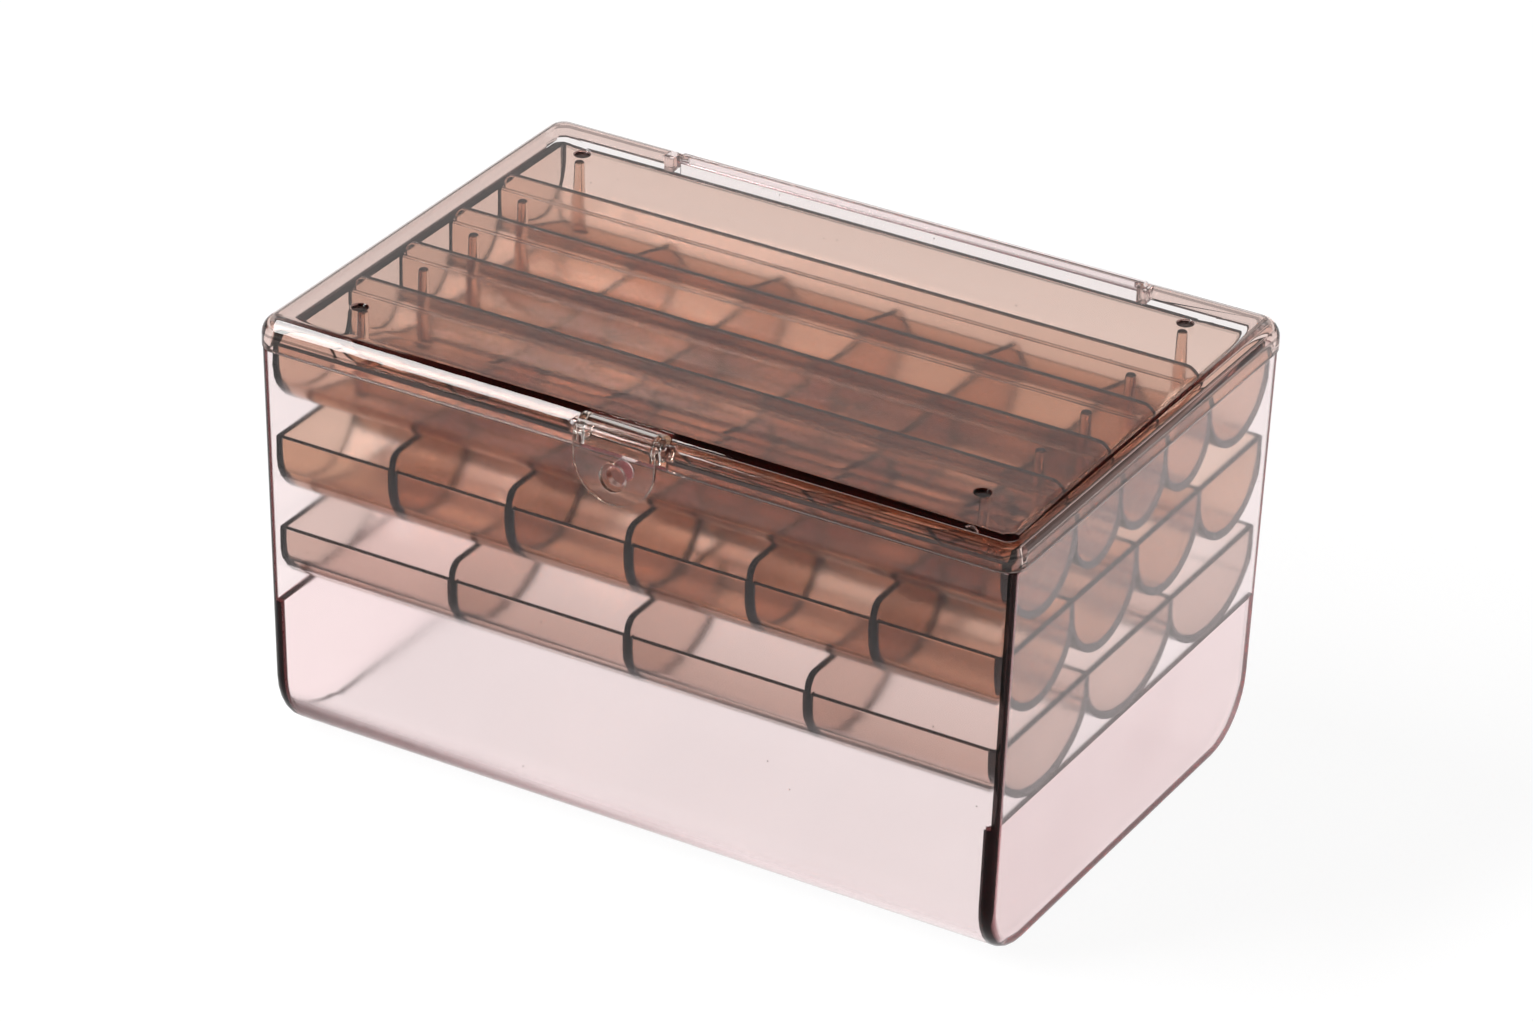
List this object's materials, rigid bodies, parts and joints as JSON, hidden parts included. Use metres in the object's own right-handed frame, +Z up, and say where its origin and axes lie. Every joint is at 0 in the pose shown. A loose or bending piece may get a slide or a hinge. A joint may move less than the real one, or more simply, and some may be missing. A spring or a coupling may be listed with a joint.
{
  "type": "tiered jewelry box",
  "caption": "Clear tinted plastic jewellery case with rounded bottom edges, stacked trays of cells and necklace channels, hinged lid and front latch.",
  "frame": {"origin": "centre of the case's flat bottom", "axes": "+X along the long side, -Y towards the latch, +Z up"},
  "size_m": [0.2356, 0.1619, 0.1332],
  "materials": {
    "case_plastic": "clear, tinted smoky pink, polished",
    "bottom_tray_plastic": "clear, tinted smoky pink, polished",
    "middle_tray_plastic": "clear, tinted smoky pink, polished",
    "top_tray_plastic": "clear, tinted smoky pink, polished",
    "lid_plastic": "clear, tinted smoky pink, polished",
    "latch_plastic": "clear, tinted smoky pink, polished"
  },
  "bodies": {
    "box": {"case": "case_plastic", "bottom_tray": "bottom_tray_plastic", "middle_tray": "middle_tray_plastic", "top_tray": "top_tray_plastic"},
    "lid": {"lid": "lid_plastic"},
    "latch": {"latch": "latch_plastic"}
  },
  "joints": [
    {"name": "lid_hinge", "type": "hinge", "parent": "box", "child": "lid", "pos_m": [0, 0.07625, 0.128], "axis": [-1, 0, 0], "range_deg": [0, 110]},
    {"name": "latch_hinge", "type": "hinge", "parent": "lid", "child": "latch", "pos_m": [0, -0.0777, 0.12875], "axis": [-1, 0, 0], "range_deg": [-4, 166]}
  ]
}
